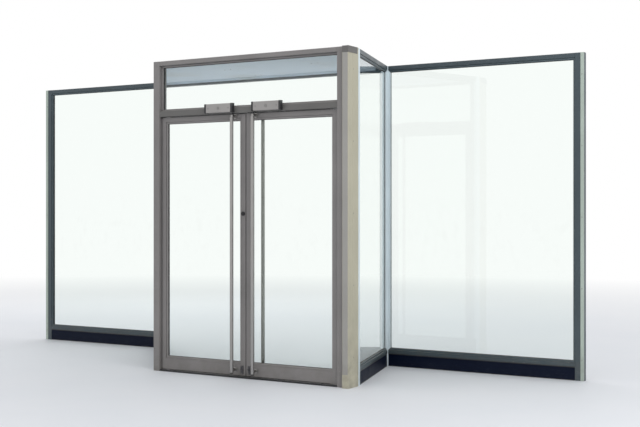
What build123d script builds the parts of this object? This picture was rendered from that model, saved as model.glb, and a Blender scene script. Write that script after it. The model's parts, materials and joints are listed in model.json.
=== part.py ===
"""Glazed aluminium shopfront with a recessed, splayed lobby and a pair of double-action swing doors.

Frame: +X to the right as seen from inside the shop, +Y towards the street, +Z up. The origin lies on
the floor, in the middle of the shopfront's bounding box. All sizes are in millimetres.
"""

import math
import os

from build123d import *

# Plan of the shopfront, with x from the middle of the doorway and y from the door plane
DOOR_CLEAR_WIDTH = 1640.0
LOBBY_DEPTH = 1250.0
LEFT_END = -3230.0
RIGHT_END = 2260.0
LEFT_CORNER_X = -1820.0
RIGHT_CORNER_X = 565.0

# Heights
TOTAL_HEIGHT = 2506.0
LEAF_TOP = 2050.0
TRANSOM_HEIGHT = 60.0
KERB_HEIGHT = 105.0
THRESHOLD_HEIGHT = 12.0
SOFFIT_DROP = 12.0
SOFFIT_THICKNESS = 12.0

# Sections of the fixed frame
SCREEN_DEPTH = 50.0
DOOR_FRAME_DEPTH = 100.0
WALL_POST_WIDTH = 72.0
DOOR_POST_WIDTH = 60.0
COLUMN_WIDTH = 50.0
COLUMN_DEPTH = 160.0
HEAD_HEIGHT = 50.0
SILL_HEIGHT = 45.0
CORNER_ARM = 38.0
WING_ARM = 45.0
KERB_SETBACK = 4.0
EDGE_ROUND = 3.0
THRESHOLD_CHAMFER = 8.0

# Glazing
GLASS_THICKNESS = 10.0
LEAF_GLASS_THICKNESS = 8.0
POCKET_DEPTH = 12.0
NOSE_HEIGHT = 14.0
NOSE_WIDTH = 32.0
LEAF_NOSE_WIDTH = 26.0

# Door leaves
LEAF_THICKNESS = 45.0
STILE_WIDTH = 55.0
TOP_RAIL_HEIGHT = 50.0
BOTTOM_RAIL_HEIGHT = 105.0
HEEL_RADIUS = 65.0
HEEL_GAP = 5.5
MEETING_GAP = 6.0
FLOOR_GAP = 6.0
HEAD_GAP = 6.0

# Pivots
PIVOT_RADIUS = 9.0
PIVOT_DEPTH = 30.0
PIVOT_CLEARANCE = 0.3

# Pull bars, lock cylinder and drop bolts
BAR_RADIUS = 14.0
BAR_PROJECTION = 55.0
BAR_FROM_MEETING_LINE = 96.0
BAR_END_MARGIN = 25.0
STANDOFF_RADIUS = 10.0
STANDOFF_ROSE_RADIUS = 17.0
STANDOFF_ROSE_THICKNESS = 5.0
BAR_END_CHAMFER = 2.0
LOCK_HEIGHT = 1275.0
LOCK_ROSE_RADIUS = 17.0
LOCK_ROSE_THICKNESS = 6.0
LOCK_TURN_LENGTH = 24.0
LOCK_TURN_WIDTH = 8.0
LOCK_TURN_PROJECTION = 14.0
BOLT_HOUSING_LENGTH = 260.0
BOLT_HOUSING_HEIGHT = 70.0
BOLT_HOUSING_DEPTH = 34.0
BOLT_HOUSING_SPACING = 180.0
BOLT_HOUSING_LIFT = 8.0
BOLT_HOUSING_CHAMFER = 3.0

# Wall fixings
FIXING_RADIUS = 4.0
FIXING_COUNT = 4
FIXING_SPACING = 700.0
FIXING_FROM_FACE = 8.0

# Worked out from the above
HALF_DOOR = DOOR_CLEAR_WIDTH / 2
SCREEN_HALF = SCREEN_DEPTH / 2
DOOR_HALF_DEPTH = DOOR_FRAME_DEPTH / 2
LEAF_HALF = LEAF_THICKNESS / 2
LEAF_BOTTOM = THRESHOLD_HEIGHT + FLOOR_GAP
TRANSOM_BOTTOM = LEAF_TOP + HEAD_GAP
TRANSOM_TOP = TRANSOM_BOTTOM + TRANSOM_HEIGHT
HEAD_BOTTOM = TOTAL_HEIGHT - HEAD_HEIGHT
SILL_TOP = KERB_HEIGHT + SILL_HEIGHT
PIVOT_X = HALF_DOOR - HEEL_GAP - HEEL_RADIUS
MEETING_EDGE = MEETING_GAP / 2
BAR_OFFSET = LEAF_HALF + BAR_PROJECTION
BAR_REACH = max(BAR_OFFSET + BAR_RADIUS, COLUMN_DEPTH / 2)
STREET_FACE = LOBBY_DEPTH + SCREEN_HALF
ORIGIN_SHIFT = Vector(-(LEFT_END + RIGHT_END) / 2, -(STREET_FACE - BAR_REACH) / 2, 0)
STILE_BODY = STILE_WIDTH - NOSE_HEIGHT


def prism(points, bottom, top):
    """A vertical prism over a plan outline."""
    face = make_face(Polyline(*[(x, y, bottom) for x, y in points], close=True))
    return extrude(face, top - bottom, dir=(0, 0, 1))


def block(x0, x1, y0, y1, z0, z1):
    """A box between two corners."""
    return Pos((x0 + x1) / 2, (y0 + y1) / 2, (z0 + z1) / 2) * Box(x1 - x0, y1 - y0, z1 - z0)


def soften(solid, axis, radius=EDGE_ROUND):
    """Rounds the long outer edges that run along an axis."""
    longest = max(edge.length for edge in solid.edges().filter_by(axis))
    edges = [edge for edge in solid.edges().filter_by(axis) if edge.length > 0.99 * longest]
    return fillet(edges, radius)


def hull(points):
    """The convex outline round a few plan points, in order."""
    middle = sum((Vector(*p) for p in points), Vector(0, 0)) / len(points)
    return sorted(points, key=lambda p: math.atan2(p[1] - middle.Y, p[0] - middle.X))


class Bay:
    """A glazed stretch of screen between two end faces, built along its own line in plan."""

    def __init__(self, start, end):
        self.start, self.end = Vector(*start), Vector(*end)
        run = self.end - self.start
        self.length = run.length
        self.place = Location(Plane(origin=self.start, x_dir=run.normalized(), z_dir=(0, 0, 1)))

    def section(self, bottom, top, half_depth, nose_half, nose_up):
        """A rail of the screen with the nose that holds the glass on its upper or lower side."""
        step = top - NOSE_HEIGHT if nose_up else bottom + NOSE_HEIGHT
        body = (bottom, step) if nose_up else (step, top)
        nose = (step, top) if nose_up else (bottom, step)
        rail = block(0, self.length, -half_depth, half_depth, *body)
        rail = soften(rail, Axis.X)
        return rail + block(0, self.length, -nose_half, nose_half, *nose)

    def glass_local(self, bottom, top):
        """The sheet in the bay's own frame, reaching into the pockets of the noses all round."""
        pocket_end = NOSE_HEIGHT - POCKET_DEPTH
        half = GLASS_THICKNESS / 2
        return block(
            pocket_end, self.length - pocket_end, -half, half, bottom - POCKET_DEPTH, top + POCKET_DEPTH
        )

    def glass(self, bottom, top):
        return self.place * self.glass_local(bottom, top)

    def sill(self):
        rail = self.section(KERB_HEIGHT, SILL_TOP, SCREEN_HALF, NOSE_WIDTH / 2, True)
        return self.place * (rail - self.glass_local(SILL_TOP, HEAD_BOTTOM))

    def head(self):
        rail = self.section(HEAD_BOTTOM, TOTAL_HEIGHT, SCREEN_HALF, NOSE_WIDTH / 2, False)
        return self.place * (rail - self.glass_local(SILL_TOP, HEAD_BOTTOM))

    def kerb(self):
        half = SCREEN_HALF - KERB_SETBACK
        return self.place * block(0, self.length, -half, half, 0, KERB_HEIGHT)

    def jamb_nose(self, at_start, bottom=SILL_TOP, top=HEAD_BOTTOM):
        """The nose on the post at one end of the bay, between its lower and upper noses."""
        x0, x1 = (0, NOSE_HEIGHT) if at_start else (self.length - NOSE_HEIGHT, self.length)
        nose = block(x0, x1, -NOSE_WIDTH / 2, NOSE_WIDTH / 2, bottom, top)
        return self.place * nose


def along(point, direction, distance):
    return (point[0] + direction.X * distance, point[1] + direction.Y * distance)


def end_face(point, direction):
    """The two plan points of a screen's end face, square to its direction."""
    side = Vector(-direction.Y, direction.X)
    return [along(point, side, SCREEN_HALF), along(point, side, -SCREEN_HALF)]


def outer_mitre(corner, first, second):
    """Where the outer faces of two screens that leave a corner meet."""
    half_angle = math.radians(first.get_angle(second)) / 2
    return along(corner, (first + second).normalized(), -SCREEN_HALF / math.sin(half_angle))


class Plan:
    """The plan of the fixed screen: its bays, and the outlines of the posts between them."""

    def __init__(self):
        left_corner = (LEFT_CORNER_X, LOBBY_DEPTH)
        right_corner = (RIGHT_CORNER_X, LOBBY_DEPTH)
        left_root = (-HALF_DOOR - DOOR_POST_WIDTH / 2, DOOR_HALF_DEPTH)
        column_middle = HALF_DOOR + DOOR_POST_WIDTH + COLUMN_WIDTH / 2
        right_root = (column_middle, COLUMN_DEPTH / 2)
        left_run = (Vector(*left_corner) - Vector(*left_root)).normalized()
        right_run = (Vector(*right_corner) - Vector(*right_root)).normalized()
        out, back = Vector(1, 0), Vector(-1, 0)

        left_start = along(left_root, left_run, WING_ARM)
        left_stop = along(left_corner, left_run, -CORNER_ARM)
        right_start = along(right_root, right_run, WING_ARM)
        right_stop = along(right_corner, right_run, -CORNER_ARM)
        left_window_stop = along(left_corner, back, CORNER_ARM)
        right_window_start = along(right_corner, out, CORNER_ARM)

        self.left_window = Bay((LEFT_END + WALL_POST_WIDTH, LOBBY_DEPTH), left_window_stop)
        self.right_window = Bay(right_window_start, (RIGHT_END - WALL_POST_WIDTH, LOBBY_DEPTH))
        self.left_return = Bay(left_start, left_stop)
        self.right_return = Bay(right_start, right_stop)
        self.lobby = Bay(left_corner, right_corner)
        self.doorway = Bay((-HALF_DOOR, 0), (HALF_DOOR, 0))

        left_back = [(-HALF_DOOR - DOOR_POST_WIDTH, DOOR_HALF_DEPTH), (-HALF_DOOR, DOOR_HALF_DEPTH)]
        right_back = [(right_root[0] - COLUMN_WIDTH / 2, right_root[1]),
                      (right_root[0] + COLUMN_WIDTH / 2, right_root[1])]
        self.left_wing = hull(left_back + end_face(left_start, left_run))
        self.right_wing = hull(right_back + end_face(right_start, right_run))
        self.left_corner_post = hull(
            [*end_face(left_window_stop, back), *end_face(left_stop, left_run),
             outer_mitre(left_corner, back, -left_run)]
        )
        self.right_corner_post = hull(
            [*end_face(right_window_start, out), *end_face(right_stop, right_run),
             outer_mitre(right_corner, out, -right_run)]
        )
        self.soffit = [left_root, left_corner, right_corner, right_root, (right_root[0], left_root[1])]


def build_screens(plan):
    """Kerbs, sills, heads and sheets of the two windows and the two returns."""
    bays = {
        "left_window": plan.left_window,
        "left_return": plan.left_return,
        "right_return": plan.right_return,
        "right_window": plan.right_window,
    }
    nodes = {}
    for name, bay in bays.items():
        nodes[f"{name}_kerb"] = bay.kerb()
        nodes[f"{name}_sill"] = bay.sill()
        nodes[f"{name}_head"] = bay.head()
        nodes[f"{name}_glass"] = bay.glass(SILL_TOP, HEAD_BOTTOM)
    return nodes


def wall_post(outer_x, side):
    """A post against the side wall, drilled through its edge for the wall fixings."""
    inner_x = outer_x + side * WALL_POST_WIDTH
    x0, x1 = sorted((outer_x, inner_x))
    post = soften(
        block(x0, x1, LOBBY_DEPTH - SCREEN_HALF, LOBBY_DEPTH + SCREEN_HALF, 0, TOTAL_HEIGHT), Axis.Z
    )
    first = TOTAL_HEIGHT / 2 - (FIXING_COUNT - 1) * FIXING_SPACING / 2
    hole_y = LOBBY_DEPTH - SCREEN_HALF + FIXING_FROM_FACE
    for index in range(FIXING_COUNT):
        centre = Pos((x0 + x1) / 2, hole_y, first + index * FIXING_SPACING)
        post -= centre * Rot(0, 90, 0) * Cylinder(FIXING_RADIUS, 2 * WALL_POST_WIDTH)
    return post


def build_posts(plan):
    """The upright posts, each with the noses and pockets that hold its sheets."""
    height = (0, TOTAL_HEIGHT)
    door_y = (-DOOR_HALF_DEPTH, DOOR_HALF_DEPTH)
    post_x = HALF_DOOR + DOOR_POST_WIDTH
    left_door = soften(block(-post_x, -HALF_DOOR, *door_y, *height), Axis.Z)
    right_door = soften(block(HALF_DOOR, post_x, *door_y, *height), Axis.Z)
    light = plan.doorway.glass(TRANSOM_TOP, HEAD_BOTTOM)
    left_door = left_door + plan.doorway.jamb_nose(True, TRANSOM_TOP) - light
    right_door = right_door + plan.doorway.jamb_nose(False, TRANSOM_TOP) - light
    column = soften(
        block(post_x, post_x + COLUMN_WIDTH, -COLUMN_DEPTH / 2, COLUMN_DEPTH / 2, *height), Axis.Z
    )
    nodes = {
        "left_wall_post": wall_post(LEFT_END, 1) + plan.left_window.jamb_nose(True),
        "left_corner_post": prism(plan.left_corner_post, *height)
        + plan.left_window.jamb_nose(False) + plan.left_return.jamb_nose(False),
        "left_return_post": prism(plan.left_wing, *height) + plan.left_return.jamb_nose(True),
        "left_door_post": left_door,
        "right_door_post": right_door,
        "right_column": column,
        "right_return_post": prism(plan.right_wing, *height) + plan.right_return.jamb_nose(True),
        "right_corner_post": prism(plan.right_corner_post, *height)
        + plan.right_window.jamb_nose(True) + plan.right_return.jamb_nose(False),
        "right_wall_post": wall_post(RIGHT_END, -1) + plan.right_window.jamb_nose(False),
    }
    sheets = {
        "left_wall_post": [plan.left_window],
        "left_corner_post": [plan.left_window, plan.left_return],
        "left_return_post": [plan.left_return],
        "right_return_post": [plan.right_return],
        "right_corner_post": [plan.right_window, plan.right_return],
        "right_wall_post": [plan.right_window],
    }
    for name, bays in sheets.items():
        for bay in bays:
            nodes[name] -= bay.glass(SILL_TOP, HEAD_BOTTOM)
    return nodes


def build_doorway(plan):
    """Head, transom, transom light and threshold between the door posts, and the lock housings."""
    bay = plan.doorway
    half = DOOR_HALF_DEPTH
    light = bay.glass(TRANSOM_TOP, HEAD_BOTTOM)
    head = bay.place * bay.section(HEAD_BOTTOM, TOTAL_HEIGHT, half, NOSE_WIDTH / 2, False) - light
    transom = bay.place * bay.section(TRANSOM_BOTTOM, TRANSOM_TOP, half, NOSE_WIDTH / 2, True) - light
    threshold = block(-HALF_DOOR, HALF_DOOR, -half, half, 0, THRESHOLD_HEIGHT)
    rims = threshold.edges().filter_by(Axis.X).group_by(Axis.Z)[-1]
    threshold = chamfer(rims, THRESHOLD_CHAMFER)
    floor_pins, head_pins = [], []
    for x in (-PIVOT_X, PIVOT_X):
        pin_top = LEAF_BOTTOM + PIVOT_DEPTH
        floor_pins.append(Pos(x, 0, (THRESHOLD_HEIGHT + pin_top) / 2)
                          * Cylinder(PIVOT_RADIUS, pin_top - THRESHOLD_HEIGHT))
        pin_bottom = LEAF_TOP - PIVOT_DEPTH
        head_pins.append(Pos(x, 0, (TRANSOM_BOTTOM + pin_bottom) / 2)
                         * Cylinder(PIVOT_RADIUS, TRANSOM_BOTTOM - pin_bottom))
    housings = []
    for side in (-1, 1):
        inner_x = side * BOLT_HOUSING_SPACING / 2
        x0, x1 = sorted((inner_x, inner_x + side * BOLT_HOUSING_LENGTH))
        z0 = TRANSOM_BOTTOM + BOLT_HOUSING_LIFT
        housing = block(x0, x1, -half - BOLT_HOUSING_DEPTH, -half, z0, z0 + BOLT_HOUSING_HEIGHT)
        front = housing.edges().group_by(Axis.Y)[0]
        housings.append(chamfer(front, BOLT_HOUSING_CHAMFER))
    return {
        "door_head": head,
        "door_transom": transom,
        "transom_glass": light,
        "threshold": threshold,
        "floor_pivots": Compound(floor_pins),
        "head_pivots": Compound(head_pins),
        "drop_bolt_housings": Compound(housings),
    }


def fitted(piece, neighbours):
    """What is left of a piece between the neighbours that it butts against."""
    for neighbour in neighbours:
        piece -= neighbour
    return max(piece.solids(), key=lambda solid: solid.volume)


def build_lobby(plan, carriers):
    """The head across the lobby's mouth and the soffit panel between the heads."""
    lobby = plan.lobby
    half = SCREEN_HALF
    beam = soften(block(0, lobby.length, -half, half, HEAD_BOTTOM, TOTAL_HEIGHT), Axis.X)
    beam = fitted(lobby.place * beam, carriers)
    bottom = TOTAL_HEIGHT - SOFFIT_DROP
    panel = prism(plan.soffit, bottom, bottom + SOFFIT_THICKNESS)
    return {"lobby_head": beam, "lobby_soffit": fitted(panel, [beam, *carriers])}


def build_leaf():
    """The left leaf in place, as named pieces. Its pivot is at x = -PIVOT_X on the door plane."""
    heel = -HALF_DOOR + HEEL_GAP
    tip = -MEETING_EDGE
    heel_line = heel + STILE_BODY
    tip_line = tip - STILE_BODY
    arc_x = -PIVOT_X - math.sqrt(HEEL_RADIUS**2 - LEAF_HALF**2)
    outline = Polyline((arc_x, -LEAF_HALF), (heel_line, -LEAF_HALF), (heel_line, LEAF_HALF), (arc_x, LEAF_HALF))
    nose = ThreePointArc((arc_x, LEAF_HALF), (heel, 0), (arc_x, -LEAF_HALF))
    pivot_stile = Pos(0, 0, LEAF_BOTTOM) * extrude(make_face([outline, nose]), LEAF_TOP - LEAF_BOTTOM)
    rail_x = (heel_line, tip_line)
    leaf_y = (-LEAF_HALF, LEAF_HALF)
    nose_y = (-LEAF_NOSE_WIDTH / 2, LEAF_NOSE_WIDTH / 2)
    bottom_line = LEAF_BOTTOM + BOTTOM_RAIL_HEIGHT
    top_line = LEAF_TOP - TOP_RAIL_HEIGHT
    meeting_stile = soften(block(tip_line, tip, *leaf_y, LEAF_BOTTOM, LEAF_TOP), Axis.Z)
    bottom_rail = block(*rail_x, *leaf_y, LEAF_BOTTOM, bottom_line - NOSE_HEIGHT)
    bottom_rail += block(*rail_x, *nose_y, bottom_line - NOSE_HEIGHT, bottom_line)
    top_rail = block(*rail_x, *leaf_y, top_line + NOSE_HEIGHT, LEAF_TOP)
    top_rail += block(*rail_x, *nose_y, top_line, top_line + NOSE_HEIGHT)
    nose_z = (bottom_line, top_line)
    pivot_stile += block(heel_line, heel_line + NOSE_HEIGHT, *nose_y, *nose_z)
    meeting_stile += block(tip_line - NOSE_HEIGHT, tip_line, *nose_y, *nose_z)
    half_glass = LEAF_GLASS_THICKNESS / 2
    glass = block(
        heel_line + NOSE_HEIGHT - POCKET_DEPTH, tip_line - NOSE_HEIGHT + POCKET_DEPTH, -half_glass, half_glass,
        bottom_line - POCKET_DEPTH, top_line + POCKET_DEPTH,
    )
    bore_depth = PIVOT_DEPTH + PIVOT_CLEARANCE
    bore = Cylinder(PIVOT_RADIUS + PIVOT_CLEARANCE, 2 * bore_depth)
    bottom_rail = bottom_rail - glass - Pos(-PIVOT_X, 0, LEAF_BOTTOM) * bore
    top_rail = top_rail - glass - Pos(-PIVOT_X, 0, LEAF_TOP) * bore
    pieces = {
        "pivot_stile": pivot_stile - glass,
        "meeting_stile": meeting_stile - glass,
        "bottom_rail": bottom_rail,
        "top_rail": top_rail,
        "glass": glass,
    }
    for name, side in (("inside_pull", -1), ("outside_pull", 1)):
        pieces[name] = pull_bar(side)
    return pieces


def pull_bar(side):
    """A full-height tubular pull on one face of the left leaf, on a standoff at each rail."""
    x = -BAR_FROM_MEETING_LINE
    y = side * BAR_OFFSET
    low, high = LEAF_BOTTOM + BAR_END_MARGIN, LEAF_TOP - BAR_END_MARGIN
    bar = Pos(x, y, (low + high) / 2) * Cylinder(BAR_RADIUS, high - low)
    bar = chamfer(bar.edges().filter_by(GeomType.CIRCLE), BAR_END_CHAMFER)
    for z in standoff_heights():
        face = Plane(origin=(x, side * LEAF_HALF, z), z_dir=(0, side, 0))
        bar += extrude(face * Circle(STANDOFF_RADIUS), BAR_PROJECTION)
        bar += extrude(face * Circle(STANDOFF_ROSE_RADIUS), STANDOFF_ROSE_THICKNESS)
    return bar


def standoff_heights():
    """The heights of a pull's standoffs, in the middle of the flat of each rail."""
    low = LEAF_BOTTOM + (BOTTOM_RAIL_HEIGHT - NOSE_HEIGHT) / 2
    high = LEAF_TOP - (TOP_RAIL_HEIGHT - NOSE_HEIGHT) / 2
    return low, high


def lock():
    """The cylinder's rose and thumb turn on the inside of the left leaf's meeting stile."""
    x = -MEETING_EDGE - STILE_BODY / 2
    face = Plane(origin=(x, -LEAF_HALF, LOCK_HEIGHT), x_dir=(1, 0, 0), z_dir=(0, -1, 0))
    rose = extrude(face * Circle(LOCK_ROSE_RADIUS), LOCK_ROSE_THICKNESS)
    turn = extrude(
        face * SlotOverall(LOCK_TURN_LENGTH, LOCK_TURN_WIDTH), LOCK_ROSE_THICKNESS + LOCK_TURN_PROJECTION
    )
    return rose + turn


def build_leaves():
    """Both leaves: the right one mirrors the left one, and the left one carries the lock."""
    nodes = {}
    for name, piece in build_leaf().items():
        nodes[f"left_leaf_{name}"] = piece
        nodes[f"right_leaf_{name}"] = mirror(piece, Plane.YZ)
    nodes["left_leaf_lock"] = lock()
    return nodes


def main():
    plan = Plan()
    nodes = build_screens(plan)
    posts = build_posts(plan)
    nodes.update(posts)
    nodes.update(build_doorway(plan))
    heads = [nodes[name] for name in ("left_return_head", "right_return_head", "door_head")]
    nodes.update(build_lobby(plan, [*heads, *posts.values()]))
    nodes.update(build_leaves())
    os.makedirs("parts", exist_ok=True)
    for name, shape in nodes.items():
        export_step(Pos(*ORIGIN_SHIFT) * shape, f"parts/{name}.step")
    print(len(nodes), "pieces, origin shift", ORIGIN_SHIFT)


main()
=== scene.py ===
"""Looks of a glazed shopfront: a recessed, splayed lobby and a pair of double-action swing doors.

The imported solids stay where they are. They get their finishes here, and each pane gets its beads and
gaskets, each leaf its seals and fittings, and the kerbs, soffit, column and wall posts their trims.
Everything is in metres, in the frame of the solids.
"""

from __future__ import annotations

import json
import logging
import math
import sys
from abc import ABC, abstractmethod
from collections.abc import Iterable, Sequence
from dataclasses import dataclass, field
from enum import Enum
from functools import cached_property, partial, reduce
from typing import NamedTuple

import bmesh
import bpy
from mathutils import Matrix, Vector


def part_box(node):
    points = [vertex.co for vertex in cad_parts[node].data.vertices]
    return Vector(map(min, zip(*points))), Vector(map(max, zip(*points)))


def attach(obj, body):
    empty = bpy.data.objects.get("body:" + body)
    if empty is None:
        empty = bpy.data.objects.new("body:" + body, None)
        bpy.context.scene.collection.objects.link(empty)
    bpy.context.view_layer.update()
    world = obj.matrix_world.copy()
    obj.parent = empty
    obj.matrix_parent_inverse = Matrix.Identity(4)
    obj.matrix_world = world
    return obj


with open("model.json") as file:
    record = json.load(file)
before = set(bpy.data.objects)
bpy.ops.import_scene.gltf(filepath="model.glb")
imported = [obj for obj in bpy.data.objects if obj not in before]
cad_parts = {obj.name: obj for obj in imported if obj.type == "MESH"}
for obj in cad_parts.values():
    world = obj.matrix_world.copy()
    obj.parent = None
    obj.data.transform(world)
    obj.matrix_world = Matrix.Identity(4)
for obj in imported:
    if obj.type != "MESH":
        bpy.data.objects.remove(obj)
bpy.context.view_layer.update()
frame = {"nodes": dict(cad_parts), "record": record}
LOG = logging.getLogger("shopfront")

Colour = tuple[float, float, float]
Place = tuple[float, float, float]
Span = tuple[float, float]
Section = Sequence[tuple[float, float]]
Socket = bpy.types.NodeSocket

X, Y, Z = Vector((1, 0, 0)), Vector((0, 1, 0)), Vector((0, 0, 1))
WHITE = (1.0, 1.0, 1.0, 1.0)
# The curve from display values to linear ones: where its straight foot ends, the foot's slope, and the
# offset and power of the rest.
CURVE_FOOT, CURVE_SLOPE, CURVE_OFFSET, CURVE_POWER = 0.04045, 12.92, 0.055, 2.4
# The places of the colour Mix node's sockets, whose names are those of its other kinds too.
MIX_SHARE, MIX_FIRST, MIX_SECOND, MIX_RESULT = 0, 6, 7, 2
# A pan head's radii and heights in shares of its radius, where its hexagonal socket starts, and the angle
# of one of its six sides.
SCREW_HEAD = ((1.0, 0.0), (1.0, 0.22), (0.82, 0.5), (0.62, 0.58), (0.42, 0.58), (0.4, 0.2))
SCREW_SOCKET = 4
HEX_TURN = math.tau / 6


class Slot(Enum):
    """The record's material slots."""

    GLASS = "clear_glass"
    KERB = "black_kerb"
    SOFFIT = "soffit_board"
    COLUMN = "cream_column"
    STEEL = "brushed_steel"
    FITTING = "dark_fitting"
    ALUMINIUM = "mill_aluminium"
    DARK_FRAME = "dark_frame"
    GREY_FRAME = "grey_frame"
    PALE_POST = "pale_post"


class Body(Enum):
    """The bodies that pieces ride on."""

    SCREEN = "screen"
    LEFT_LEAF = "left_leaf"
    RIGHT_LEAF = "right_leaf"


class Way(Enum):
    """A choice between the two directions along an axis, each with its sign."""

    def __str__(self) -> str:
        """The word for it in the names of nodes and pieces."""
        return self.name.lower()


class Side(Way):
    """The sides of the front along X, as seen from inside the shop."""

    LEFT = -1
    RIGHT = 1


class Face(Way):
    """The faces of a leaf along Y."""

    INSIDE = -1
    OUTSIDE = 1


class Skin(Enum):
    """How rings of points are joined with faces."""

    STRIP = "a strip between open rings"
    SOLID = "a tube of closed rings with filled ends"
    HOOP = "a tube of closed rings that joins itself"


class Corners(NamedTuple):
    """A node's lowest and highest corners at rest, and the middle between them."""

    low: Vector
    high: Vector
    middle: Vector

    def at(self, x: int, y: int, z: int) -> Vector:
        """The point that is lowest at -1, in the middle at 0 and highest at 1, along each axis."""
        ends = (self.middle, self.high, self.low)
        return Vector((ends[x].x, ends[y].y, ends[z].z))


class Plate(NamedTuple):
    """The sizes of a plate with a chamfered rim."""

    length: float
    width: float
    thickness: float
    chamfer: float


def corners(node: str) -> Corners:
    """The corners and the middle of a node of the solids."""
    low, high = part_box(node)
    return Corners(low, high, (low + high) / 2)


def linear(colour: Colour, factor: float = 1.0) -> tuple[float, float, float, float]:
    """Turns a colour in display values into the linear one that shaders take.

    Args:
        colour: Red, green and blue from 0 to 255.
        factor: What each of them is multiplied by first.

    Returns:
        Linear red, green and blue from 0 to 1, and an alpha of 1.
    """
    values = []
    for value in colour:
        share = min(255.0, value * factor) / 255
        if share <= CURVE_FOOT:
            values.append(share / CURVE_SLOPE)
        else:
            values.append(((share + CURVE_OFFSET) / (1 + CURVE_OFFSET)) ** CURVE_POWER)
    return (*values, 1.0)


def placed(name: str, data: bpy.types.ID) -> bpy.types.Object:
    """Makes an object and puts it in the scene.

    Args:
        name: The object's name.
        data: Its mesh, light or camera.

    Returns:
        The object.
    """
    thing = bpy.data.objects.new(name, data)
    bpy.context.scene.collection.objects.link(thing)
    return thing


class Graph:
    """A shader node tree while it is wired."""

    point: Socket | None = None

    def __init__(self, tree: bpy.types.NodeTree) -> None:
        """Starts on a tree, which it empties."""
        self.tree = tree
        tree.nodes.clear()

    def add(self, kind: str, inputs: dict | None = None, **settings: object) -> bpy.types.Node:
        """Adds a node.

        Args:
            kind: The node's type name without its ShaderNode prefix.
            inputs: Values or sockets for the node's inputs, by name or place.
            **settings: The node's own settings.

        Returns:
            The new node.
        """
        node = self.tree.nodes.new(f"ShaderNode{kind}")
        for name, value in settings.items():
            setattr(node, name, value)
        for name, value in (inputs or {}).items():
            self.feed(node.inputs[name], value)
        return node

    def feed(self, socket: Socket, value: object) -> None:
        """Sets a socket's own value, or links another socket to it.

        Args:
            socket: The input.
            value: A number, a vector, a colour or an output socket.
        """
        if isinstance(value, Socket):
            self.tree.links.new(value, socket)
        else:
            socket.default_value = value

    def math(self, operation: str, first: object, second: object = 0.0) -> Socket:
        """The result of a calculation on one or two numbers or sockets."""
        return self.add("Math", {0: first, 1: second}, operation=operation).outputs[0]

    def product(self, *values: object) -> Socket:
        """The product of numbers or sockets."""
        return reduce(partial(self.math, "MULTIPLY"), values)

    def fading(self, distance: object, reach: object) -> Socket:
        """A share of 1 where the distance is 0, which falls to 0 where the distance comes to the reach."""
        share = self.math("SUBTRACT", 1.0, self.math("DIVIDE", distance, reach))
        return self.math("MAXIMUM", share, 0.0)

    def spread(self, value: object, span: Span, onto: Span = (0.0, 1.0)) -> Socket:
        """The value with one span of it spread onto another one, and held at its ends."""
        return self.add("MapRange", {"Value": value, "From Min": span[0], "From Max": span[1],
                                     "To Min": onto[0], "To Max": onto[1]}).outputs["Result"]

    def noise(self, scale: object, detail: float, roughness: float = 0.5, span: Span | None = None,
              onto: Span = (0.0, 1.0), point: Socket | None = None) -> Socket:
        """A noise from 0 to 1 by its features per metre, or one span of it spread onto another."""
        value = self.add("TexNoise", {"Vector": point or self.point, "Scale": scale, "Detail": detail,
                                      "Roughness": roughness}).outputs["Fac"]
        return self.spread(value, span, onto) if span else value

    def stretched(self, scale: Place) -> Socket:
        """The tree's point with its axes stretched, for grain that runs one way."""
        return self.add("Mapping", {"Vector": self.point, "Scale": scale}).outputs["Vector"]

    def height(self, vector: object) -> Socket:
        """The vector's part along Z."""
        return self.add("SeparateXYZ", {"Vector": vector}).outputs["Z"]

    def mix(self, share: object, first: object, second: object) -> Socket:
        """A mix of two colours, by the second one's share."""
        return self.add("Mix", {MIX_SHARE: share, MIX_FIRST: first, MIX_SECOND: second},
                        data_type="RGBA").outputs[MIX_RESULT]

    def layered(self, base: object, *layers: tuple[object, Colour]) -> Socket:
        """Lays colours over a base, one after another.

        Args:
            base: The colour's socket or its linear values.
            *layers: Each layer's share and its colour in display values.

        Returns:
            The last colour's socket.
        """
        for share, colour in layers:
            base = self.mix(share, base, linear(colour))
        return base

    def background_rays(self) -> Socket:
        """A share of 1 for the rays that show the plain white background, in metal and glass too."""
        rays = self.add("LightPath").outputs
        return self.math("MAXIMUM", rays["Is Camera Ray"],
                         self.math("MAXIMUM", rays["Is Glossy Ray"], rays["Is Transmission Ray"]))


class Group(Graph):
    """A shared effect while it is wired: a node group that takes a point and some numbers."""

    def __init__(self, name: str, outputs: Sequence[str], **inputs: float) -> None:
        """Starts a group with named sockets.

        Args:
            name: The group's name.
            outputs: The names of its outputs, all of them numbers.
            **inputs: The numbers that it takes beside the point, with their usual values.
        """
        super().__init__(bpy.data.node_groups.new(name, "ShaderNodeTree"))
        interface = self.tree.interface
        interface.new_socket(name="Point", in_out="INPUT", socket_type="NodeSocketVector")
        for key, value in inputs.items():
            socket = interface.new_socket(name=key, in_out="INPUT", socket_type="NodeSocketFloat")
            socket.default_value = value
        for key in outputs:
            interface.new_socket(name=key, in_out="OUTPUT", socket_type="NodeSocketFloat")
        self.given = self.tree.nodes.new("NodeGroupInput").outputs
        self.point = self.given["Point"]

    def closed(self, **results: Socket) -> bpy.types.NodeTree:
        """Feeds the group's outputs.

        Args:
            **results: What each output puts out.

        Returns:
            The finished group.
        """
        ends = self.tree.nodes.new("NodeGroupOutput").inputs
        for key, value in results.items():
            self.feed(ends[key], value)
        return self.tree


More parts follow.
